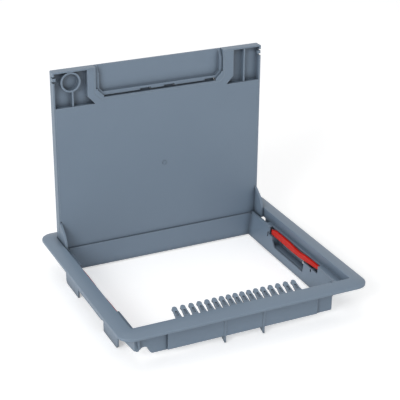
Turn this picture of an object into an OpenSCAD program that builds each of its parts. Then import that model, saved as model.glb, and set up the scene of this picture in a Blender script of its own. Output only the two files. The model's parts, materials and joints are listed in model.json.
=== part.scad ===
// Floor service outlet cover: recessed frame, hinged lid, cord flap, cord comb and release levers.
// Millimetres, +Z up, +X along the hinge, +Y towards it. The lid stands open at rest.

/* [Flange] */
// length along the hinge
flange_length = 265; // [230:1:320]
// depth from front to hinge side
flange_depth = 240; // [220:1:300]
// plan radius of the outer corners
flange_corner = 14; // [6:0.5:14]
// height of the crown above the floor
flange_crown = 5; // [4:0.1:8]
// height of the outer lip
flange_lip = 2.7; // [1:0.1:4]
// rounding where the flange turns into the recess
mouth_round = 0.7; // [0.4:0.1:2]

/* [Recess] */
// half length of the lid recess
recess_x = 117.5; // [100:0.5:130]
// half depth of the lid recess
recess_y = 104.1; // [90:0.5:115]
// level of the ledge under the lid
ledge_z = -4.1; // [-8:0.1:-3]
// thickness of ledge and recess walls
ledge_wall = 1.7; // [1.2:0.1:3]
// half length of the opening below the ledge
opening_x = 110.5; // [100:0.5:115]
// how far the ledge stands in over the side walls
ledge_lip = 0.6; // [0:0.1:2]
// front edge of the opening
opening_front = -101.5; // [-104:0.5:-95]

/* [Side walls] */
// bottom of the side walls
wall_bottom = -32.4; // [-40:0.2:-25]
// inward draft of a side wall over its height
wall_draft = 3.5; // [0:0.1:6]
// thickness of the side walls
wall_thick = 1.9; // [1.2:0.1:3]
// bottom of the side walls near the front corners
wall_front_bottom = -19; // [-32:0.5:-12]
// where the low front part of the side walls ends
wall_step_y = -73; // [-90:1:-60]
// rear face of the back wall
back_y = 94.3; // [90:0.1:94.3]
// thickness of the back wall
back_thick = 1.5; // [1:0.1:2.5]
// floor of the trough behind the back wall
trough_z = -19; // [-25:0.2:-18.8]

/* [Skirt] */
// bottom of the main skirt
skirt_bottom = -26.5; // [-32:0.5:-15]
// half length of the main skirt
skirt_x = 81; // [60:1:90]
// half length to the outer side of the end blocks
block_x = 99; // [90:1:105]
// bottom of the end blocks
block_bottom = -27.5; // [-32:0.5:-15]
// how far the end blocks stand behind the skirt
block_setback = 2.6; // [0.5:0.1:4]
// height of the corner arch
arch_top = -20; // [-24:0.5:-16]
// bottom of the corner bosses
boss_bottom = -22.5; // [-30:0.5:-10]
// place of the two skirt ribs from the middle
fin_x = 21; // [10:1:60]
// depth of the fins below the skirt
fin_drop = 7.2; // [2:0.1:7.8]
// run of a fin from front to back
fin_run = 18; // [6:0.5:20]
// thickness of the fins
fin_thick = 1.4; // [0.8:0.1:2.5]

// outer face of the plate at the left front corner
corner_plate_x = 114; // [113:0.1:116]
// rounding of the left end block
block_round_left = 4; // [0.5:0.5:6]
// rounding of the right end block
block_round_right = 1.5; // [0.5:0.5:6]
// rear end of the gap at the right front corner
right_gap_y = -80; // [-95:1:-75]
// bottom of the right side wall over that gap
right_gap_z = -8; // [-19:0.5:-6]

/* [Clamp housings] */
// inner end of each housing from the middle
leg_near = 36; // [30:1:50]
// outer end of each housing from the middle
leg_far = 73; // [60:1:85]
// outer face of the housings
leg_x = 119.3; // [119:0.1:121]
// bottom of the housings
leg_bottom = -34.4; // [-40:0.2:-32.6]
// corner cut of a front housing
leg_cut = 4; // [1:0.5:8]
// wall of the housings
leg_wall = 1.6; // [1:0.1:3]

/* [Lid] */
// gap round the closed lid
lid_gap = 0.4; // [0.3:0.05:1]
// level of the hinge axis
hinge_z = -6; // [-9:0.1:-5]
// hinge axis from front to back
hinge_y = 92.4; // [86:0.1:96]
// underside of the closed lid
lid_under = -3.7; // [-6:0.1:-3]
// thickness of the top skin
skin_thick = 2; // [1.2:0.1:3]
// thickness of the lid's rim
rim_thick = 1.8; // [1.2:0.1:3]
// plan radius of the lid's front corners
lid_corner = 1.2; // [0.5:0.1:3]
// thickness of the closing sheet under the lid
sheet_thick = 1.5; // [0.8:0.1:2]
// thickness of the hidden ribs
rib_thick = 1.4; // [0.8:0.1:2.5]
// ribs hidden between skin and sheet
rib_count = 5; // [2:1:9]
// side pocket length from the front edge
pocket_run = 38.7; // [25:0.5:60]
// start of the pocket's flare
pocket_flare_from = 30.2; // [20:0.5:38]
// flare of the pocket
pocket_flare = 7.8; // [0:0.5:12]
// inner wall of the left pocket
pocket_left = -80.4; // [-90:0.5:-75]
// inner wall of the right pocket
pocket_right = 84.7; // [75:0.5:92]
// radius of the ring boss
ring_radius = 10.6; // [6:0.1:12]
// ring boss from the front edge
ring_run = 12.6; // [12.4:0.1:20]
// ring boss along the lid
ring_x = -98; // [-102:0.5:-92]

/* [Ears] */
// gap between the ears and the recess walls
ear_gap = 0.6; // [0.4:0.1:1.5]
// thickness of the ears
ear_thick = 2.5; // [1.5:0.1:3]
// reach of the ears below the axis
ear_reach = 15; // [8:0.5:16]
// radius of the hinge pins
pin_radius = 1.3; // [1:0.1:1.6]
// running clearance of pins in the ears
pin_gap = 0.08; // [0.05:0.01:0.1]

/* [Cord flap] */
// left side of the flap
flap_left = -70.8; // [-78:0.2:-50]
// right side of the flap
flap_right = 72; // [50:0.2:78]
// flap hinge axis from the lid's front edge
flap_run = 31.6; // [25:0.2:40]
// thickness of the flap's plate
flap_thick = 2; // [1.2:0.1:3]
// gap round the flap
flap_gap = 0.5; // [0.3:0.05:1]
// width of the flap's border along its hinge
border_width = 4.2; // [2:0.1:6]
// width of the flap's left border
border_left = 3.7; // [2:0.1:3.8]
// width of the flap's right border
border_right = 2.8; // [2:0.1:2.9]
// level of the border's face above the lid's underside
border_rise = 2.4; // [0.5:0.1:4]
// cut across the corners inside the flap's border
panel_chamfer = 4; // [0:0.1:4.2]
// cut across the corners of the flap's recess
flap_chamfer = 6.3; // [0:0.1:10]
// radius of the flap's hinge pin
flap_pin = 0.45; // [0.3:0.05:0.6]

/* [Comb] */
// number of fingers
finger_count = 17; // [5:1:21]
// first finger tip
finger_from = -63.7; // [-63.7:0.1:-40]
// last finger tip
finger_to = 66; // [40:0.1:66]
// drift of the fingers towards the middle
finger_drift = 1.9; // [0:0.1:2.2]
// root of the last finger on its outer side
end_gusset = 7.2; // [4:0.1:7.5]
// tip of the fingers from front to back
finger_tip_y = -78.6; // [-90:0.2:-78.4]
// top of the finger tips
finger_tip_z = 1.6; // [0:0.1:1.7]
// fall of a finger from tip to root
finger_fall = 9.2; // [8.8:0.1:10]
// width of a finger near its tip
finger_width = 4.6; // [2:0.1:4.8]
// width of a finger at its root
finger_root = 8.2; // [3:0.1:8.4]
// radius of a finger's tip
finger_radius = 2.6; // [1.5:0.1:2.7]
// thickness of a finger
finger_thick = 1.8; // [1:0.1:2.5]

/* [Release levers] */
// how far the levers stand outside the opening
lever_gap = 0.5; // [0.1:0.1:1]
// thickness of the levers
lever_thick = 2.4; // [1.5:0.1:2.8]
// pivot of the levers from front to back
lever_pivot = 45.5; // [30:0.5:46]
// front end of the levers
lever_front = -54; // [-60:0.5:-50]
// top of the lever at its pivot
lever_rear_z = -7; // [-9:0.1:-6]
// top of the lever along its humps
lever_top_z = -5.2; // [-7:0.1:-4.4]
// lowest edge of the lever
lever_low_z = -13; // [-14:0.1:-12.8]
// front end of the window below the lever
window_front = -28; // [-35:0.5:-20]
// rear end of the window below the lever
window_rear = 41; // [30:0.5:42]
// bottom of the window below the lever
window_bottom = -23.5; // [-26:0.5:-18]
// radius of the lever pins
lever_pin = 0.7; // [0.4:0.05:0.8]

/* [Hidden] */
$fn = 72;
half_x = flange_length / 2;
half_y = flange_depth / 2;
corner_x = half_x - flange_corner;
corner_y = half_y - flange_corner;
crown_drop = flange_crown - flange_lip;
lip_round = 0.7;
crown_run = flange_corner - lip_round;
crown_radius = (crown_run * crown_run + crown_drop * crown_drop) / (2 * crown_drop);
recess_corner = 1.6;
wall_out = recess_x + ledge_wall;
lever_inner = opening_x + lever_gap;
ledge_low = ledge_z - ledge_wall;
skirt_face = -recess_y - 1.5;
skirt_inner = skirt_face + 2.2;
rear_out = recess_y + 1.5;
trough_low = trough_z - 1.5;
plastic = [0.43, 0.48, 0.54];
red = [0.78, 0.12, 0.07];
metal = [0.72, 0.74, 0.76];
lid_x = recess_x - lid_gap;
lid_front = lid_gap - recess_y;
rear_radius = recess_y - lid_gap - hinge_y - 0.1;
lid_top = hinge_z + rear_radius;
skin_low = lid_top - skin_thick;
rim_inner = lid_x - rim_thick;
ear_outer = recess_x - ear_gap;
ear_inner = ear_outer - ear_thick;
slot_inner = ear_inner - 2;
slot_from = 59;
slot_to = 104;
ledge_inner = opening_x - ledge_lip;
web_bottom = -22;
cheek_from = 86;
front_webs = [8 - leg_far, -leg_near - 8];
rear_webs = [leg_near + 7, slot_from - 3];
bore_gap = 0.02;
bar_x = leg_x - 3;
clear_radius = lid_under - hinge_z - lid_gap;
flap_axis_y = lid_front + flap_run;
flap_axis_z = lid_top - flap_thick / 2;
flap_edge = flap_thick / 2;
border_z = lid_under + border_rise;
swing_cut = 1.8;
flap_wall = 1.6;
knuckle_cut = 0.3;
knuckles = [[-22, -10], [5, 17], [52, 64]];
lever_top = [[lever_pivot, lever_rear_z], [40, -5.6], [25, lever_top_z], [8, -5.5], [-5, -6.6], [-15, -6.8],
             [-25, -5.6], [-40, lever_top_z], [lever_front, lever_top_z]];
lever_low = [[lever_front, -8.4], [-46, -9.6], [-30, -11.2], [-14, -12.6], [-1, lever_low_z],
             [12, -12.8], [31, -12.4], [lever_pivot, -12.6]];

// plain helpers
module block(x, y, z) {
    translate([x[0], y[0], z[0]])
        cube([x[1] - x[0], y[1] - y[0], z[1] - z[0]]);
}

module runX(x0, x1) {
    translate([x0, 0, 0]) rotate([90, 0, 90])
        linear_extrude(x1 - x0) children();
}

module runY(y0, y1) {
    translate([0, y1, 0]) rotate([90, 0, 0])
        linear_extrude(y1 - y0) children();
}

module rodX(x0, x1, y, z, r) {
    translate([x0, y, z]) rotate([0, 90, 0])
        cylinder(r = r, h = x1 - x0);
}

module bothSides() {
    children();
    mirror([1, 0, 0]) children();
}

module onSide(side) {
    if (side > 0) children();
    else mirror([1, 0, 0]) children();
}

// closed lid coordinates to the open rest pose
module openLid() {
    translate([0, hinge_y, hinge_z]) rotate([-90, 0, 0])
        translate([0, -hinge_y, -hinge_z]) children();
}

// flange
module crownProfile() {
    intersection() {
        union() {
            square([crown_run, flange_crown]);
            square([flange_corner, flange_lip - lip_round]);
            translate([crown_run, flange_lip - lip_round]) circle(lip_round);
        }
        translate([0, flange_crown - crown_radius]) circle(crown_radius, $fn = 180);
    }
}

module flangePlate() {
    block([-corner_x, corner_x], [-corner_y, corner_y], [0, flange_crown]);
    for (sx = [0, 1]) mirror([sx, 0, 0])
        runY(-corner_y, corner_y) translate([corner_x, 0]) crownProfile();
    for (sy = [0, 1]) mirror([0, sy, 0])
        runX(-corner_x, corner_x) translate([corner_y, 0]) crownProfile();
    for (sx = [0, 1]) for (sy = [0, 1]) mirror([sx, 0, 0]) mirror([0, sy, 0])
        translate([corner_x, corner_y, 0]) rotate_extrude(angle = 90) crownProfile();
}

module flareProfile() {
    difference() {
        square([mouth_round, mouth_round]);
        translate([mouth_round, 0]) circle(mouth_round);
    }
}

module recessMouth() {
    in_x = recess_x - recess_corner;
    in_y = recess_y - recess_corner;
    z0 = flange_crown - mouth_round;
    block([-recess_x, recess_x], [-in_y, in_y], [ledge_z, flange_crown + 1]);
    block([-in_x, in_x], [-recess_y, recess_y], [ledge_z, flange_crown + 1]);
    for (sx = [0, 1]) mirror([sx, 0, 0])
        runY(-in_y, in_y) translate([recess_x, z0]) flareProfile();
    for (sy = [0, 1]) mirror([0, sy, 0])
        runX(-in_x, in_x) translate([recess_y, z0]) flareProfile();
    for (sx = [0, 1]) for (sy = [0, 1]) mirror([sx, 0, 0]) mirror([0, sy, 0])
        translate([in_x, in_y, 0]) {
            translate([0, 0, ledge_z]) cylinder(r = recess_corner, h = flange_crown + 1 - ledge_z);
            rotate_extrude(angle = 90) translate([recess_corner, z0]) flareProfile();
        }
}

// walls below the ledge
module sideWall(side) {
    low_x = opening_x - wall_draft;
    difference() {
        runY(skirt_face, rear_out)
            polygon([[opening_x, ledge_z], [low_x, wall_bottom],
                     [low_x + wall_thick, wall_bottom], [opening_x + wall_thick, ledge_z]]);
        block([100, 120], [skirt_face - 1, wall_step_y], [wall_bottom - 1, wall_front_bottom]);
        if (side > 0)
            block([100, 120], [skirt_face - 1, right_gap_y], [wall_bottom - 1, right_gap_z]);
        block([100, 120], [back_y, rear_out + 1], [wall_bottom - 1, trough_low]);
        windowCut();
    }
}

module windowCut() {
    cut = 6;
    translate([100, 0, 0]) runX(0, 20)
        polygon([[window_front, lever_low_z + 0.2], [window_rear, lever_low_z + 0.2],
                 [window_rear, window_bottom + cut], [window_rear - cut, window_bottom],
                 [window_front, window_bottom]]);
    block([100, 120], [50, 52.4], [-17, -11]);
    block([100, 120], [-43.6, -41.4], [-16.4, -13]);
}

// ledge, recess wall and the slots that the ears swing through
module ledgeRing() {
    difference() {
        block([-wall_out, wall_out], [skirt_face, rear_out], [ledge_low, 0.5]);
        block([-ledge_inner, ledge_inner], [opening_front, rear_out - 1.5], [ledge_low - 1, 1]);
        block([-recess_x, recess_x], [back_y, recess_y], [ledge_low - 1, 1]);
        bothSides() {
            block([slot_inner, recess_x], [slot_from, slot_to], [ledge_low - 1, 1]);
            block([slot_inner - 3, recess_x], [back_y - 18, recess_y], [ledge_z - 0.3, 1]);
        }
    }
}

module trough() {
    difference() {
        block([-wall_out, wall_out], [back_y - back_thick, rear_out], [trough_low, 0.5]);
        block([-recess_x, recess_x], [back_y, recess_y], [trough_z, 1]);
        block([-recess_x, recess_x], [back_y - back_thick - 1, recess_y], [hinge_z, 1]);
    }
    block([-(opening_x - 1), opening_x - 1], [back_y - back_thick, back_y], [wall_bottom, trough_low]);
}

// outer cheeks that carry the hinge pins
module hingeCheek() {
    block([recess_x, wall_out], [cheek_from, rear_out], [trough_low, 0.5]);
    rodX(wall_out - 0.5, wall_out + 1, hinge_y, hinge_z, pin_radius + 1.8);
}

module legHousing(y0, y1, webs) {
    difference() {
        union() {
            block([leg_x - leg_wall, leg_x], [y0, y1], [leg_bottom, 0.5]);
            for (y = webs)
                block([opening_x, leg_x - leg_wall + 0.1], [y, y + leg_wall], [web_bottom, ledge_low + 0.3]);
        }
        block([leg_x - leg_wall - 1, leg_x + 1], [webs[0] + leg_wall + 2, webs[1] - 2], [web_bottom + 2, -9]);
        children();
    }
}

module housings() {
    legHousing(-leg_far, -leg_near, front_webs)
        translate([0, -leg_far, leg_bottom]) rotate([45, 0, 0])
            cube([300, leg_cut, leg_cut], center = true);
    legHousing(leg_near, leg_far, rear_webs)
        difference() {
            block([opening_x - 1, leg_x + 1], [leg_far - 4, leg_far + 1], [leg_bottom - 1, leg_bottom + 4]);
            rodX(opening_x - 2, leg_x + 2, leg_far - 4, leg_bottom + 4, 4);
        }
}

// shallow box behind each window
module latchBox() {
    z0 = window_bottom - 1.6;
    difference() {
        union() {
            block([opening_x - 2, leg_x], [window_front - 2, window_rear + 2], [z0, ledge_low + 0.4]);
            block([leg_x - leg_wall, leg_x], [-leg_near - 0.5, window_front], [z0 + 1.2, 0.5]);
        }
        block([opening_x - 5, leg_x - 1.6], [window_front, window_rear], [window_bottom, ledge_low]);
        block([opening_x - 5, opening_x + 0.2], [window_front - 3, window_rear + 3], [z0 - 1, -9]);
    }
}

// front skirt, end blocks, arches and fins
module skirt() {
    block([-skirt_x, skirt_x], [skirt_face, skirt_inner], [skirt_bottom, 0.5]);
    block([-wall_out, wall_out], [skirt_inner - 1.8, opening_front], [ledge_low, ledge_z]);
    for (side = [-1, 1]) onSide(side) {
        endBlock(side > 0 ? block_round_right : block_round_left);
        skirtFin(fin_x);
    }
    mirror([1, 0, 0]) leftCorner();
}

module endBlock(r) {
    difference() {
        block([skirt_x - 1.6, block_x], [skirt_face + block_setback, opening_front + 4], [block_bottom, 0.5]);
        block([skirt_x, block_x - 1.6], [opening_front, opening_front + 5], [block_bottom - 1, ledge_low]);
        difference() {
            block([block_x - r, block_x + 1], [-120, -90], [block_bottom - 1, block_bottom + r]);
            rotate([90, 0, 0]) translate([block_x - r, block_bottom + r, 80]) cylinder(r = r, h = 50);
        }
    }
}

// arch and plate at the left front corner
module leftCorner() {
    face = skirt_face + block_setback;
    difference() {
        block([block_x - 1, corner_plate_x - 1.6], [face, opening_front + 1.2], [boss_bottom, 0.5]);
        rotate([90, 0, 0]) translate([104.5, arch_top - 4.5, 80]) cylinder(r = 5.6, h = 50);
    }
    runX(corner_plate_x - 1.7, corner_plate_x)
        polygon([[face, 0.5], [face, -21.4], [-100, boss_bottom + 0.3], [-77, -24.8], [-76, -24.8], [-76, 0.5]]);
}

module skirtFin(x) {
    block([x - 1.2, x + 1.2], [skirt_face - 0.5, skirt_face + 1], [skirt_bottom, 0.5]);
    runX(x - fin_thick / 2, x + fin_thick / 2)
        polygon([[skirt_face - 0.5, skirt_bottom + 2], [skirt_face - 0.5, skirt_bottom - fin_drop],
                 [skirt_face + 0.6, skirt_bottom - fin_drop], [skirt_face + fin_run, skirt_bottom],
                 [skirt_face + fin_run, skirt_bottom + 2], [skirt_inner, skirt_bottom + 6],
                 [skirt_face + 0.5, skirt_bottom + 6]]);
}

module leverCut() {
    x1 = lever_inner + lever_thick + 0.5;
    block([opening_x - 6, x1], [lever_front - 1.2, window_front + 0.1], [lever_low_z + 0.6, 1]);
    block([opening_x - 6, x1], [window_front, lever_pivot + 3.4], [lever_low_z - 0.6, 1]);
}

module frame() {
    color(plastic) difference() {
        union() {
            flangePlate();
            ledgeRing();
            trough();
            skirt();
            for (side = [-1, 1]) onSide(side) {
                sideWall(side);
                hingeCheek();
                housings();
                latchBox();
                leverSeat();
            }
        }
        recessMouth();
        lidSweep();
        block([-ledge_inner, ledge_inner], [opening_front, back_y - back_thick - 0.1], [ledge_z - 1, 9]);
        block([finger_from - 5.5, finger_to + 8.5], [skirt_inner, opening_front + 1], [ledge_low - 1, ledge_z + 0.5]);
        bothSides() {
            leverCut();
            block([slot_inner, recess_x], [slot_from, back_y + 0.1], [hinge_z - ear_reach - 0.5, 1]);
            rodX(opening_x - 3, wall_out + 3, hinge_y, hinge_z, pin_radius + bore_gap);
            translate([lever_inner + lever_thick / 2, lever_pivot, -25]) cylinder(r = lever_pin + bore_gap, h = 20);
        }
    }
}

// room that the lid's rear edge turns in
module lidSweep() {
    block([-recess_x, recess_x], [back_y, recess_y], [trough_z, 1]);
    difference() {
        block([-recess_x, recess_x], [hinge_y, recess_y], [hinge_z, 1]);
        rodX(-recess_x - 1, recess_x + 1, hinge_y, hinge_z, clear_radius);
    }
}

// rail below each lever that holds its pin
module leverSeat() {
    z1 = lever_low_z - 0.6;
    block([opening_x - 1, lever_inner + lever_thick + 1.4], [lever_pivot - 3, lever_pivot + 5], [z1 - 2, z1]);
}

// comb
function fingerX(i) = finger_from + (finger_to - finger_from) * i / (finger_count - 1)
    + finger_drift * sin(360 * i / (finger_count - 1));

module finger(i) {
    x = fingerX(i);
    run = finger_tip_y - skirt_inner;
    slope = atan(finger_fall / run);
    length = run / cos(slope) - finger_radius;
    translate([x, finger_tip_y - finger_radius, finger_tip_z - finger_thick]) rotate([slope, 0, 0])
        difference() {
            union() {
                linear_extrude(finger_thick) polygon([[-finger_width / 2, 0], [finger_width / 2, 0],
                    [finger_root / 2, -length], [-finger_root / 2, -length]]);
                if (i == finger_count - 1)
                    linear_extrude(finger_thick)
                        polygon([[0, -6], [finger_width / 2, -6], [end_gusset, -length], [0, -length]]);
                translate([0, 0, -0.8]) cylinder(r = finger_radius, h = finger_thick + 0.8);
                translate([-0.6, -length, -1.2]) cube([1.2, length, 1.6]);
            }
            translate([0, -4.4, finger_thick - 0.9]) cylinder(r = 1.3, h = 2);
            translate([-1.3, -9.5, finger_thick - 0.9]) cube([2.6, 5, 2]);
        }
}

module comb() {
    root = finger_tip_z - finger_fall - finger_thick;
    color(plastic) {
        intersection() {
            for (i = [0 : finger_count - 1]) finger(i);
            block([-80, 80], [skirt_inner + 0.05, -60], [-12, 6]);
        }
        block([finger_from - 5, finger_to + 8], [skirt_inner + 0.05, skirt_inner + 2.2], [root - 2, ledge_z - 0.15]);
    }
}

// pins
module hingePin(side) {
    color(plastic) onSide(side) {
        rodX(slot_inner - 1.4, wall_out + 1, hinge_y, hinge_z, pin_radius);
        rodX(wall_out + 1, wall_out + 1.8, hinge_y, hinge_z, pin_radius + 1);
    }
}

module leverPin(side) {
    color(metal) onSide(side)
        translate([lever_inner + lever_thick / 2, lever_pivot, lever_low_z - 2.6])
            cylinder(r = lever_pin, h = lever_rear_z - lever_low_z + 3.1);
}

// latch bar and post seen in each window
module latchBar(side) {
    color(metal) onSide(side) runX(bar_x, bar_x + 1.35)
        polygon([[window_front + 2, -21], [window_rear - 8, -21], [window_rear - 8, -14.5],
                 [window_front + 13, -14.5], [window_front + 8.6, -9.6], [window_front + 2, -9.6]]);
}

module latchPost(side) {
    color(metal) onSide(side)
        rodX(lever_inner + 0.6, bar_x - 0.05, window_front + 5, -15, 1.5);
}

// sheet metal clamp tucked in each housing
module clamp(side, y0, y1) {
    x1 = leg_x - leg_wall - 0.05;
    color(metal) onSide(side) {
        block([x1 - 1.2, x1], [y0, y1], [web_bottom + 1, -8]);
        block([x1 - 0.1, x1 + 1.2], [y0 + 3, y1 - 3], [-14, -11]);
    }
}

// lid, drawn closed and then opened
module lidBlank(inset, z0, z1) {
    x = lid_x - inset;
    r = max(lid_corner - inset, 0.2);
    y0 = lid_front + inset;
    block([-x, x], [y0 + r, hinge_y], [z0, z1]);
    block([r - x, x - r], [y0, y0 + r + 1], [z0, z1]);
    bothSides() translate([x - r, y0 + r, z0]) cylinder(r = r, h = z1 - z0);
    intersection() {
        rodX(-x, x, hinge_y, hinge_z, rear_radius - inset);
        block([-x, x], [hinge_y - 1, hinge_y + 40], [z0, lid_top]);
    }
}

module pocketPlan(side, grow) {
    inner = side > 0 ? pocket_right : -pocket_left;
    x1 = rim_inner + 0.1;
    run = pocket_run + grow;
    offset_x = inner - grow;
    onSide(side)
        polygon([[offset_x, rim_thick], [x1, rim_thick], [x1, run], [offset_x - pocket_flare, run],
                 [offset_x, pocket_flare_from]]);
}

module pocketCut(side, z0, z1, grow) {
    translate([0, lid_front, z0]) linear_extrude(z1 - z0) pocketPlan(side, grow);
}

module flapPlan(grow, run, cut = flap_chamfer, right = undef) {
    x0 = flap_left - grow;
    x1 = right == undef ? flap_right + grow : flap_right - right;
    polygon([[x0, -1], [x1, -1], [x1, run - cut], [x1 - cut, run], [x0 + cut, run], [x0, run - cut]]);
}

module flapCut(z0, z1, grow, cut = flap_chamfer) {
    translate([0, lid_front, z0]) linear_extrude(z1 - z0)
        flapPlan(grow, flap_run + flap_edge + grow, cut);
}

module ear() {
    y = hinge_y;
    z = hinge_z;
    difference() {
        union() {
            runX(ear_inner, ear_outer)
                polygon([[y - 31.1, lid_under + 1], [y - 28.4, z - 1.3], [y - 21.8, z - 10],
                         [y - 15.4, z - 13.9], [y - 11.2, z - ear_reach], [y, z - ear_reach],
                         [y + 3, z - 11], [y + 9, z - 6.5], [y + 11, z - 1], [y + 11, lid_under + 1]]);
            intersection() {
                rodX(ear_inner, ear_outer, y, z, ear_reach);
                block([100, 120], [y - 12, y + 1], [z - 30, z]);
            }
        }
        rodX(ear_inner - 1, ear_outer + 1, y, z, pin_radius + pin_gap);
        difference() {
            block([100, 120], [y, y + 30], [z - 30, z + 20]);
            rodX(100, 120, y, z, rear_radius - 0.1);
        }
    }
}

module hiddenRibs() {
    y0 = lid_front + pocket_run + 8;
    step = (hinge_y - y0) / rib_count;
    low = lid_under + sheet_thick + 0.05;
    for (i = [0 : rib_count - 1])
        block([-rim_inner - 0.5, rim_inner + 0.5], [y0 + i * step, y0 + i * step + rib_thick], [low, skin_low + 0.5]);
    for (x = [-60, 0, 60])
        block([x - rib_thick / 2, x + rib_thick / 2], [y0, hinge_y], [low, skin_low + 0.5]);
}

module lidTray() {
    ring_y = lid_front + ring_run;
    rim_low = lid_under + 0.6;
    difference() {
        union() {
            difference() {
                lidBlank(0, lid_under, lid_top);
                difference() {
                    lidBlank(rim_thick, lid_under - 1, skin_low);
                    block([-200, 200], [hinge_y + 5, 200], [skin_low - 0.01, 20]);
                }
            }
            hiddenRibs();
            // pocket walls and flap recess wall reach down to the sheet
            for (side = [-1, 1]) difference() {
                pocketCut(side, lid_under + sheet_thick, skin_low + 0.5, flap_wall);
                pocketCut(side, lid_under - 1, skin_low, 0);
            }
            translate([ring_x, ring_y, rim_low]) cylinder(r = ring_radius, h = skin_low - rim_low + 0.5);
            pocketRib(ring_x + 1, ring_y + ring_radius - 1);
            pocketRib(97, lid_front + 1);
            difference() {
                flapCut(lid_under, lid_top, flap_gap + flap_wall);
                flapCut(lid_under - 1, lid_top + 1, flap_gap);
                block([-200, 200], [-200, lid_front], [-20, 20]);
            }
            bothSides() ear();
        }
        translate([ring_x, ring_y, rim_low - 1]) cylinder(r = ring_radius - rim_thick, h = skin_low - rim_low + 1);
        flapCut(lid_under - 1, lid_top + 1, flap_gap);
        // notch beside each snap tongue
        bothSides() block([rim_inner - 0.2, lid_x + 1], [lid_front + 4.7, lid_front + 11.6], [lid_under - 1, 0.6]);
    }
    bothSides() block([rim_inner - 1.6, lid_x], [lid_front + 6.4, lid_front + 9.7], [lid_under + 0.6, 0.7]);
    cornerLip();
    flapKnuckles();
}

module flapKnuckles() {
    y = flap_axis_y;
    for (k = knuckles)
        difference() {
            block([k[0] + knuckle_cut, k[1] - knuckle_cut], [y - 0.9, y + flap_edge + flap_gap + 0.5],
                  [flap_axis_z - 1.9, flap_axis_z + 0.85]);
            rodX(k[0] - 1, k[1] + 1, y, flap_axis_z, flap_pin + bore_gap);
        }
}

module pocketRib(x, y0) {
    pocket_y = lid_front + pocket_run;
    block([x, x + 1.6], [y0, pocket_y - 0.05], [lid_under + 0.6, skin_low + 0.5]);
    block([x, x + 1.6], [pocket_y - 1, pocket_y + 0.5], [lid_under + sheet_thick, skin_low + 0.5]);
}

// lips that close the corner gaps under the flap
module cornerLip() {
    run = flap_run + flap_edge;
    y = [lid_front + run - 9, lid_front + run + 2];
    intersection() {
        difference() {
            flapCut(lid_under, border_z - 0.4, flap_gap + 0.1);
            translate([0, lid_front, lid_under - 1]) linear_extrude(10) flapPlan(-1.4, run - 1.4);
        }
        union() {
            block([flap_left - 2, flap_left + 8], y, [-10, 10]);
            block([flap_right - 8, flap_right + 2], y, [-10, 10]);
        }
    }
}

module lidSheet() {
    top = lid_under + sheet_thick;
    difference() {
        union() {
            block([-rim_inner + 0.05, rim_inner - 0.05], [lid_front + rim_thick + 0.05, hinge_y + 8.3], [lid_under, top]);
            translate([3.9, lid_front + 116.8, lid_under - 0.25]) cylinder(r = 2, h = 0.5);
        }
        for (side = [-1, 1]) pocketCut(side, lid_under - 1, top + 1, 0);
        flapCut(lid_under - 1, top + 1, flap_gap + flap_wall + 0.05);
        bothSides() block([ear_inner - 0.3, 130], [hinge_y - 32, 120], [-20, 20]);
    }
}

module flapBody() {
    y = flap_axis_y;
    z = flap_axis_z;
    difference() {
        intersection() {
            flapCut(border_z, z + flap_edge, 0, flap_chamfer + swing_cut);
            union() {
                block([-200, 200], [lid_front, y], [border_z, z + flap_edge]);
                rodX(-200, 200, y, z, flap_edge);
            }
        }
        // panel between the borders
        translate([0, lid_front, border_z - 1]) linear_extrude(z - flap_edge - border_z + 1)
            translate([0, -0.5])
                flapPlan(-border_left, flap_run - border_width + 0.9, panel_chamfer, border_right);
        // sloped front ends of the side borders
        runX(-100, 100) polygon([[lid_front - 1, border_z - 1], [lid_front + 9, border_z - 1],
                                 [lid_front + 8, border_z], [lid_front, z - flap_edge], [lid_front - 1, z - flap_edge]]);
        for (k = knuckles)
            block([k[0], k[1]], [y - 1.6, y + 3], [border_z - 1, z + flap_edge + 1]);
        rodX(-200, 200, y, z, flap_pin + 0.05);
    }
}

module lid_tray() { color(plastic) openLid() lidTray(); }
module lid_sheet() { color(plastic) openLid() lidSheet(); }
module cord_flap() { color(plastic) openLid() flapBody(); }
module flap_pin() {
    color(metal) openLid()
        rodX(flap_left + flap_chamfer + 1, flap_right - flap_chamfer - 1, flap_axis_y, flap_axis_z, flap_pin);
}

// release lever with a wavy lower edge
module lever(side) {
    x = lever_inner + lever_thick / 2;
    color(red) onSide(side) difference() {
        union() {
            runX(lever_inner, lever_inner + lever_thick) polygon(concat(lever_top, lever_low));
            translate([x, lever_pivot, lever_low_z + 0.4]) cylinder(r = lever_thick / 2, h = 5.6);
        }
        translate([x, lever_pivot, lever_low_z - 10]) cylinder(r = lever_pin + 0.05, h = 40);
    }
}

frame();
comb();
hingePin(-1);  // hinge_pin_left
hingePin(1);  // hinge_pin_right
latchBar(-1);  // latch_bar_left
latchBar(1);  // latch_bar_right
latchPost(-1);  // latch_post_left
latchPost(1);  // latch_post_right
leverPin(-1);  // lever_pin_left
leverPin(1);  // lever_pin_right
clamp(-1, front_webs[0] + leg_wall + 0.5, front_webs[1] - 0.5);  // clamp_front_left
clamp(1, front_webs[0] + leg_wall + 0.5, front_webs[1] - 0.5);  // clamp_front_right
clamp(-1, rear_webs[0] + leg_wall + 0.5, rear_webs[1] - 0.5);  // clamp_rear_left
clamp(1, rear_webs[0] + leg_wall + 0.5, rear_webs[1] - 0.5);  // clamp_rear_right
lid_tray();
lid_sheet();
flap_pin();
cord_flap();
lever(-1);  // lever_left
lever(1);  // lever_right
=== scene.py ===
import json
import math
import bpy
from mathutils import Matrix, Vector


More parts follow.
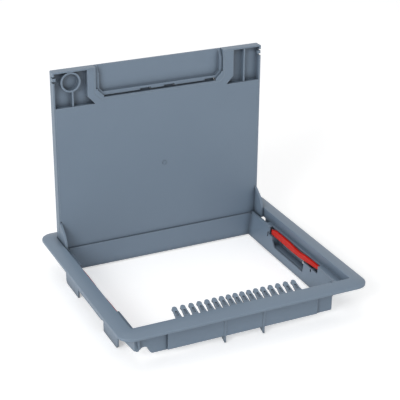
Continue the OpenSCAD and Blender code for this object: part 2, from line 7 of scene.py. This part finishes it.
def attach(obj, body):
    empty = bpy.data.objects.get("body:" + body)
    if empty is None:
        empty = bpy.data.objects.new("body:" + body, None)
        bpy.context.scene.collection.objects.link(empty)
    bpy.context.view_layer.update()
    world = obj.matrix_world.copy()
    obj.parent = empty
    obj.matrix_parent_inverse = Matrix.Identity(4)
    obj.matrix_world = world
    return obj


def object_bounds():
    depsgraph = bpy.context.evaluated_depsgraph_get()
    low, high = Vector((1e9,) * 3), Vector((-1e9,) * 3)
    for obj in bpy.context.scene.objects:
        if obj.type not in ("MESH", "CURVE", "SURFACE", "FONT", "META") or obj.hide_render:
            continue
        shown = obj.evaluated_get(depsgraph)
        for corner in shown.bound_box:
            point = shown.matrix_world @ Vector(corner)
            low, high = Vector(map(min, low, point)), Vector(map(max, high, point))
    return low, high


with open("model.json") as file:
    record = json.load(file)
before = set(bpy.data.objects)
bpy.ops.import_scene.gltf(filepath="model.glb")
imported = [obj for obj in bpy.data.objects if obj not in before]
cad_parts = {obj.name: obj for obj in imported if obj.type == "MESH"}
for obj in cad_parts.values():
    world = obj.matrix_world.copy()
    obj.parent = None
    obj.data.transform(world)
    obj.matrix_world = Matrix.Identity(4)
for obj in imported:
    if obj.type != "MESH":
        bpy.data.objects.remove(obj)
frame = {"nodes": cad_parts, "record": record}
cadLow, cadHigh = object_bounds()
print("frame loaded")


def srgb(r, g, b):
    def lin(c):
        c = c / 255
        return c / 12.92 if c <= 0.04045 else ((c + 0.055) / 1.055) ** 2.4
    return (lin(r), lin(g), lin(b), 1)


# shared node groups

def newGroup(name, inputs, outputs):
    group = bpy.data.node_groups.new(name, "ShaderNodeTree")
    for kind, label in inputs:
        group.interface.new_socket(label, in_out="INPUT", socket_type=kind)
    for kind, label in outputs:
        group.interface.new_socket(label, in_out="OUTPUT", socket_type=kind)
    return group, group.nodes.new("NodeGroupInput"), group.nodes.new("NodeGroupOutput")


def addNode(tree, kind, inputs=None, **settings):
    node = tree.nodes.new(kind)
    for key, value in settings.items():
        setattr(node, key, value)
    for key, value in (inputs or {}).items():
        if isinstance(value, bpy.types.NodeSocket):
            tree.links.new(value, node.inputs[key])
        else:
            node.inputs[key].default_value = value
    return node


# fine moulded grain: height for a bump, a slow tone drift and small specks
grainValues = {
    "fineDetail": 3.0,
    "fineRoughness": 0.6,
    "driftDetail": 4.0,
    "driftRoughness": 0.55,
    "driftDistortion": 0.4,
    "speckScale": 1400.0,
    "speckSize": 0.12,
}


def makeGrainGroup(values):
    group, source, sink = newGroup(
        "mouldedGrain",
        [("NodeSocketFloat", "grainScale"), ("NodeSocketFloat", "driftScale")],
        [("NodeSocketFloat", "height"), ("NodeSocketFloat", "drift"), ("NodeSocketFloat", "speck")])
    coord = addNode(group, "ShaderNodeTexCoord")
    fine = addNode(group, "ShaderNodeTexNoise", {
        "Vector": coord.outputs["Object"], "Scale": source.outputs["grainScale"],
        "Detail": values["fineDetail"], "Roughness": values["fineRoughness"]})
    drift = addNode(group, "ShaderNodeTexNoise", {
        "Vector": coord.outputs["Object"], "Scale": source.outputs["driftScale"],
        "Detail": values["driftDetail"], "Roughness": values["driftRoughness"],
        "Distortion": values["driftDistortion"]})
    cells = addNode(group, "ShaderNodeTexVoronoi", {
        "Vector": coord.outputs["Object"], "Scale": values["speckScale"]})
    speck = addNode(group, "ShaderNodeMapRange", {
        "Value": cells.outputs["Distance"], "From Min": 0.0, "From Max": values["speckSize"],
        "To Min": 1.0, "To Max": 0.0})
    group.links.new(fine.outputs["Fac"], sink.inputs["height"])
    group.links.new(drift.outputs["Fac"], sink.inputs["drift"])
    group.links.new(speck.outputs["Result"], sink.inputs["speck"])
    return group


# rounded edges: a bevelled normal and a mask of where it turns away from the face, used to paint
# highlights along the edges
edgeValues = {"samples": 6, "faceDot": 1.0, "edgeDot": 0.85}


def makeEdgeGroup(values):
    group, source, sink = newGroup(
        "softEdges", [("NodeSocketFloat", "radius")],
        [("NodeSocketVector", "normal"), ("NodeSocketFloat", "edge")])
    bevel = addNode(group, "ShaderNodeBevel", {"Radius": source.outputs["radius"]},
                    samples=values["samples"])
    geometry = addNode(group, "ShaderNodeNewGeometry")
    dot = addNode(group, "ShaderNodeVectorMath",
                  {0: bevel.outputs["Normal"], 1: geometry.outputs["Normal"]}, operation="DOT_PRODUCT")
    edge = addNode(group, "ShaderNodeMapRange", {
        "Value": dot.outputs["Value"], "From Min": values["faceDot"], "From Max": values["edgeDot"],
        "To Min": 0.0, "To Max": 1.0})
    group.links.new(bevel.outputs["Normal"], sink.inputs["normal"])
    group.links.new(edge.outputs["Result"], sink.inputs["edge"])
    return group


# painted shade: a darker tone put into tight corners, where shade falls
creviceShadeValues = {"samples": 8, "openSky": 0.95, "closedSky": 0.25}


def makeCreviceShadeGroup(values):
    group, source, sink = newGroup(
        "creviceShadeTone", [("NodeSocketFloat", "reach")], [("NodeSocketFloat", "creviceShade")])
    near = addNode(group, "ShaderNodeAmbientOcclusion", {"Distance": source.outputs["reach"]},
                   samples=values["samples"])
    tone = addNode(group, "ShaderNodeMapRange", {
        "Value": near.outputs["AO"], "From Min": values["openSky"], "From Max": values["closedSky"],
        "To Min": 0.0, "To Max": 1.0})
    group.links.new(tone.outputs["Result"], sink.inputs["creviceShade"])
    return group


grainGroup = makeGrainGroup(grainValues)
edgeGroup = makeEdgeGroup(edgeValues)
creviceShadeGroup = makeCreviceShadeGroup(creviceShadeValues)
print("node groups")


def newMaterial(name):
    material = bpy.data.materials.new(name)
    material.use_nodes = True
    material.node_tree.nodes.clear()
    return material, material.node_tree


def mixColour(tree, factor, a, b):
    # sockets 0, 6 and 7 are the factor and the two colours, output 2 the mixed one
    node = tree.nodes.new("ShaderNodeMix")
    node.data_type = "RGBA"
    for index, value in ((0, factor), (6, a), (7, b)):
        if isinstance(value, bpy.types.NodeSocket):
            tree.links.new(value, node.inputs[index])
        else:
            node.inputs[index].default_value = value
    return node.outputs[2]


def mouldedPlastic(name, values):
    material, tree = newMaterial(name)
    grain = addNode(tree, "ShaderNodeGroup", node_tree=grainGroup)
    grain.inputs["grainScale"].default_value = values["grainScale"]
    grain.inputs["driftScale"].default_value = values["driftScale"]
    edges = addNode(tree, "ShaderNodeGroup", node_tree=edgeGroup)
    edges.inputs["radius"].default_value = values["edgeRadius"]
    toned = mixColour(tree, grain.outputs["drift"], values["colourA"], values["colourB"])
    # painted highlight: the edge mask mixes a lighter colour into the plastic along its edges
    edgeMix = addNode(tree, "ShaderNodeMath", {0: edges.outputs["edge"], 1: values["edgeLight"]},
                      operation="MULTIPLY")
    edgeHighlighted = mixColour(tree, edgeMix.outputs["Value"], toned, values["edgeColour"])
    speckMix = addNode(tree, "ShaderNodeMath", {0: grain.outputs["speck"], 1: values["speckAmount"]},
                       operation="MULTIPLY")
    specked = mixColour(tree, speckMix.outputs["Value"], edgeHighlighted, values["speckColour"])
    # painted shade: tight corners are mixed toward a dark colour
    creviceShade = addNode(tree, "ShaderNodeGroup", node_tree=creviceShadeGroup)
    creviceShade.inputs["reach"].default_value = values["creviceShadeReach"]
    shadeMix = addNode(tree, "ShaderNodeMath",
                      {0: creviceShade.outputs["creviceShade"], 1: values["creviceShadeAmount"]}, operation="MULTIPLY")
    final = mixColour(tree, shadeMix.outputs["Value"], specked, values["creviceShadeColour"])
    rough = addNode(tree, "ShaderNodeMapRange", {
        "Value": grain.outputs["height"], "To Min": values["roughMin"], "To Max": values["roughMax"]})
    bump = addNode(tree, "ShaderNodeBump", {
        "Strength": values["grainStrength"], "Distance": values["grainDepth"],
        "Height": grain.outputs["height"], "Normal": edges.outputs["normal"]})
    shader = addNode(tree, "ShaderNodeBsdfPrincipled", {
        "Base Color": final, "Roughness": rough.outputs["Result"], "Normal": bump.outputs["Normal"],
        "Specular IOR Level": values["specular"], "IOR": values["ior"]})
    addNode(tree, "ShaderNodeOutputMaterial", {"Surface": shader.outputs["BSDF"]})
    return material


# blue-grey housing plastic
greyValues = {
    "colourA": srgb(109, 125, 142),
    "colourB": srgb(119, 136, 153),
    # painted highlight along the edges: its colour and amount
    "edgeColour": srgb(158, 171, 184),
    "edgeLight": 0.5,
    "speckColour": srgb(98, 110, 126),
    "speckAmount": 0.25,
    "grainScale": 950.0,
    "driftScale": 7.0,
    "grainStrength": 0.35,
    "grainDepth": 0.0001,
    "edgeRadius": 0.0008,
    # painted shade in tight corners: its colour, amount and reach
    "creviceShadeColour": srgb(52, 61, 72),
    "creviceShadeAmount": 0.85,
    "creviceShadeReach": 0.01,
    "roughMin": 0.38,
    "roughMax": 0.52,
    "specular": 0.5,
    "ior": 1.5,
}
greyPlastic = mouldedPlastic("greyPlastic", greyValues)

# same plastic on the comb, with more painted shade between the fingers and a stronger painted highlight on
# the edges
combShadeValues = dict(greyValues, creviceShadeAmount=1.0, creviceShadeReach=0.018,
                  creviceShadeColour=srgb(44, 52, 62), edgeLight=0.7)
combShadedPlastic = mouldedPlastic("combShadedPlastic", combShadeValues)

# red lever plastic
redValues = {
    "colourA": srgb(196, 16, 4),
    "colourB": srgb(210, 30, 10),
    # painted highlight along the edges: its colour and amount
    "edgeColour": srgb(232, 74, 36),
    "edgeLight": 0.3,
    "speckColour": srgb(170, 30, 20),
    "speckAmount": 0.15,
    "grainScale": 1100.0,
    "driftScale": 12.0,
    "grainStrength": 0.2,
    "grainDepth": 0.0001,
    "edgeRadius": 0.0006,
    # painted shade in tight corners: its colour, amount and reach
    "creviceShadeColour": srgb(92, 14, 10),
    "creviceShadeAmount": 0.6,
    "creviceShadeReach": 0.004,
    "roughMin": 0.34,
    "roughMax": 0.46,
    "specular": 0.15,
    "ior": 1.5,
}
redPlastic = mouldedPlastic("redPlastic", redValues)

# plated steel of pins, bars and clamps
steelValues = {
    "colour": srgb(196, 200, 204),
    "darkColour": srgb(150, 155, 162),
    "brushScale": 260.0,
    "brushStretch": (1.0, 0.06, 1.0),
    "brushDetail": 4.0,
    "brushRoughness": 0.6,
    "roughMin": 0.24,
    "roughMax": 0.42,
    "bumpStrength": 0.15,
    "bumpDepth": 0.00005,
    "edgeRadius": 0.0002,
}


def platedSteel(name, values):
    material, tree = newMaterial(name)
    coord = addNode(tree, "ShaderNodeTexCoord")
    stretch = addNode(tree, "ShaderNodeMapping", {
        "Vector": coord.outputs["Object"], "Scale": values["brushStretch"]})
    brush = addNode(tree, "ShaderNodeTexNoise", {
        "Vector": stretch.outputs["Vector"], "Scale": values["brushScale"],
        "Detail": values["brushDetail"], "Roughness": values["brushRoughness"]})
    colour = mixColour(tree, brush.outputs["Fac"], values["darkColour"], values["colour"])
    rough = addNode(tree, "ShaderNodeMapRange", {
        "Value": brush.outputs["Fac"], "To Min": values["roughMin"], "To Max": values["roughMax"]})
    edges = addNode(tree, "ShaderNodeGroup", node_tree=edgeGroup)
    edges.inputs["radius"].default_value = values["edgeRadius"]
    bump = addNode(tree, "ShaderNodeBump", {
        "Strength": values["bumpStrength"], "Distance": values["bumpDepth"],
        "Height": brush.outputs["Fac"], "Normal": edges.outputs["normal"]})
    shader = addNode(tree, "ShaderNodeBsdfPrincipled", {
        "Base Color": colour, "Metallic": 1.0, "Roughness": rough.outputs["Result"],
        "Normal": bump.outputs["Normal"]})
    addNode(tree, "ShaderNodeOutputMaterial", {"Surface": shader.outputs["BSDF"]})
    return material


steel = platedSteel("platedSteel", steelValues)
slotMaterial = {"grey_plastic": greyPlastic, "red_plastic": redPlastic, "plated_steel": steel}
for part in frame["record"]["subparts"]:
    node = frame["nodes"][part["node"]]
    node.data.materials.clear()
    # the comb gets the copy with stronger painted shade and painted highlight
    shown = combShadedPlastic if part["node"] == "comb" else slotMaterial[part["material_slot"]]
    node.data.materials.append(shown)
print("materials on", len(frame["nodes"]), "pieces")

# small ring left by the mould on the lid's underside
ringValues = {
    "place": (0.0039, 0.09445, 0.0733),
    "turn": (math.pi / 2, 0, 0),
    "radius": 0.0022,
    "thickness": 0.0004,
    "segmentsRound": 48,
    "segmentsAcross": 12,
}


def makeMouldRing(values):
    bpy.ops.mesh.primitive_torus_add(location=values["place"], rotation=values["turn"],
                                     major_radius=values["radius"], minor_radius=values["thickness"],
                                     major_segments=values["segmentsRound"],
                                     minor_segments=values["segmentsAcross"])
    ring = bpy.context.object
    ring.name = "mould_ring"
    ring.data.materials.append(greyPlastic)
    bpy.ops.object.shade_smooth()
    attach(ring, "lid")


makeMouldRing(ringValues)
print("mould ring")

# floor
floorValues = {
    "size": 6.0,
    "drop": 0.0002,
    "colour": srgb(243, 243, 243),
    "drift": srgb(240, 241, 242),
    "driftScale": 3.0,
    "driftDetail": 3.0,
    "roughness": 0.8,
    "specular": 0.2,
    "glowColour": (1, 1, 1, 1),
    "seenGlow": 0.42,
}


def seenRays(tree):
    # one where the camera, a reflection or a see-through ray looks
    path = addNode(tree, "ShaderNodeLightPath")
    direct = addNode(tree, "ShaderNodeMath",
                     {0: path.outputs["Is Camera Ray"], 1: path.outputs["Is Glossy Ray"]},
                     operation="MAXIMUM")
    every = addNode(tree, "ShaderNodeMath",
                    {0: direct.outputs["Value"], 1: path.outputs["Is Transmission Ray"]},
                    operation="MAXIMUM")
    return every.outputs["Value"]


def makeFloor(values):
    bpy.ops.mesh.primitive_plane_add(size=values["size"], location=(0, 0, cadLow.z - values["drop"]))
    floor = bpy.context.object
    floor.name = "floor"
    material, tree = newMaterial("paleFloor")
    coord = addNode(tree, "ShaderNodeTexCoord")
    noise = addNode(tree, "ShaderNodeTexNoise", {
        "Vector": coord.outputs["Object"], "Scale": values["driftScale"], "Detail": values["driftDetail"]})
    colour = mixColour(tree, noise.outputs["Fac"], values["drift"], values["colour"])
    shader = addNode(tree, "ShaderNodeBsdfPrincipled", {
        "Base Color": colour, "Roughness": values["roughness"], "Specular IOR Level": values["specular"]})
    glow = addNode(tree, "ShaderNodeMath", {0: seenRays(tree), 1: values["seenGlow"]},
                   operation="MULTIPLY")
    tree.links.new(glow.outputs["Value"], shader.inputs["Emission Strength"])
    shader.inputs["Emission Color"].default_value = values["glowColour"]
    addNode(tree, "ShaderNodeOutputMaterial", {"Surface": shader.outputs["BSDF"]})
    floor.data.materials.append(material)


makeFloor(floorValues)

# light
lightValues = {
    "keyPower": 21.0, "keySize": 0.8, "keyPlace": (-1.5, -1.1, 1.0),
    "fillPower": 2.2, "fillSize": 1.4, "fillPlace": (1.3, -1.6, 0.5),
    "topPower": 4.0, "topSize": 1.4, "topPlace": (-0.3, 0.3, 1.9),
    "aim": (0, 0, 0.05),
    "worldColour": (1, 1, 1, 1),
    "worldStrength": 0.52,
    "worldSeen": 1.0,
}


def addArea(role, values):
    data = bpy.data.lights.new(role + "Light", "AREA")
    data.shape = "SQUARE"
    data.size = values[role + "Size"]
    data.energy = values[role + "Power"]
    lamp = bpy.data.objects.new(role + "Light", data)
    bpy.context.scene.collection.objects.link(lamp)
    lamp.location = values[role + "Place"]
    aim = Vector(values["aim"]) - Vector(values[role + "Place"])
    lamp.rotation_mode = "QUATERNION"
    lamp.rotation_quaternion = aim.to_track_quat("-Z", "Y")


for role in ("key", "fill", "top"):
    addArea(role, lightValues)

world = bpy.data.worlds.new("studio")
bpy.context.scene.world = world
world.use_nodes = True
worldTree = world.node_tree
worldTree.nodes.clear()
strength = addNode(worldTree, "ShaderNodeMapRange", {
    "Value": seenRays(worldTree),
    "To Min": lightValues["worldStrength"], "To Max": lightValues["worldSeen"]})
background = addNode(worldTree, "ShaderNodeBackground", {
    "Color": lightValues["worldColour"], "Strength": strength.outputs["Result"]})
addNode(worldTree, "ShaderNodeOutputWorld", {"Surface": background.outputs["Background"]})
print("stage and light")

# camera: angles in degrees, shift in pixels of the photo's width
cameraValues = {
    "place": (-0.4622, -0.9735, 0.5621),
    "yaw": -25.42,
    "pitch": 24.6,
    "roll": 0.44,
    "lens": 105.9,
    "sensor": 36,
    "shiftPixels": (0.73, 0.37),
    "photoWidth": 400,
    "clip": (0.05, 50),
}


def makeCamera(values):
    data = bpy.data.cameras.new("camera")
    camera = bpy.data.objects.new("camera", data)
    bpy.context.scene.collection.objects.link(camera)
    data.sensor_width = values["sensor"]
    data.lens = values["lens"]
    data.shift_x, data.shift_y = (shift / values["photoWidth"] for shift in values["shiftPixels"])
    data.clip_start, data.clip_end = values["clip"]
    yaw, pitch, roll = (math.radians(values[key]) for key in ("yaw", "pitch", "roll"))
    forward = Vector((-math.sin(yaw) * math.cos(pitch), math.cos(yaw) * math.cos(pitch), -math.sin(pitch)))
    right = Vector((math.cos(yaw), math.sin(yaw), 0))
    up = right.cross(forward)
    rolledRight = math.cos(roll) * right + math.sin(roll) * up
    rolledUp = -math.sin(roll) * right + math.cos(roll) * up
    turn = Matrix((rolledRight, rolledUp, -forward)).transposed()
    camera.rotation_mode = "QUATERNION"
    camera.location = values["place"]
    camera.rotation_quaternion = turn.to_quaternion()
    bpy.context.scene.camera = camera


makeCamera(cameraValues)
bpy.context.scene.view_settings.view_transform = "Standard"
print("camera set")
